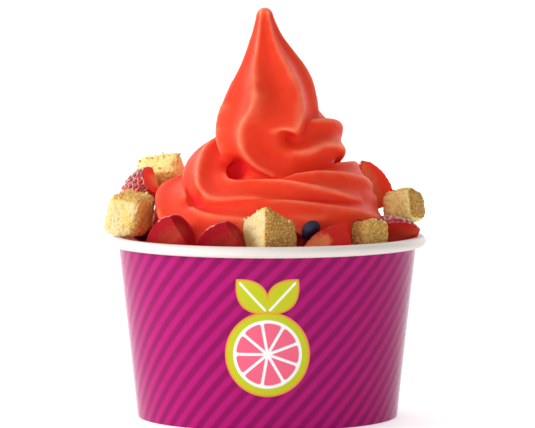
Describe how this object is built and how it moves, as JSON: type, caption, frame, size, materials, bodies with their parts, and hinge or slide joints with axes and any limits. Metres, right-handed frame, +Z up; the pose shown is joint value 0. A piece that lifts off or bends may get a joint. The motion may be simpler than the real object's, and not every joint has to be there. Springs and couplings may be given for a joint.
{
  "type": "sorbet cup",
  "caption": "Paper cup filled with a tall piped swirl of red sorbet, ringed with cake cubes, halved strawberries and dark berries.",
  "frame": {"origin": "on the cup's axis, at the height of the base ring that it stands on", "axes": "+Z up along the cup's axis, -Y towards the viewer of the picture, +X to the viewer's right"},
  "size_m": [0.0983, 0.096, 0.1238],
  "materials": {
    "printed_paper": "coated paper board printed with magenta and purple slanted stripes, white rolled rim",
    "white_paper": "white coated paper board",
    "sorbet": "silky aerated red-orange sorbet",
    "cake": "pale yellow crumb with golden-brown crust",
    "strawberry": "moist dark red fruit with seeds",
    "dark_berry": "dark indigo fruit skin"
  },
  "bodies": {
    "root": {"cup_wall": "printed_paper", "cup_base": "white_paper", "sorbet": "sorbet", "cake_front": "cake", "cake_front_right": "cake", "cake_right": "cake", "cake_left": "cake", "cake_back_left": "cake", "cake_back": "cake", "cake_back_right": "cake", "strawberry_left": "strawberry", "strawberry_front_left": "strawberry", "strawberry_front": "strawberry", "strawberry_front_right": "strawberry", "strawberry_right": "strawberry", "strawberry_back_right": "strawberry", "strawberry_back": "strawberry", "strawberry_rear_left": "strawberry", "dark_berry_front_right": "dark_berry", "dark_berry_front_left": "dark_berry", "dark_berry_right": "dark_berry", "dark_berry_left": "dark_berry", "dark_berry_back": "dark_berry", "dark_berry_rear_right": "dark_berry"}
  },
  "joints": []
}
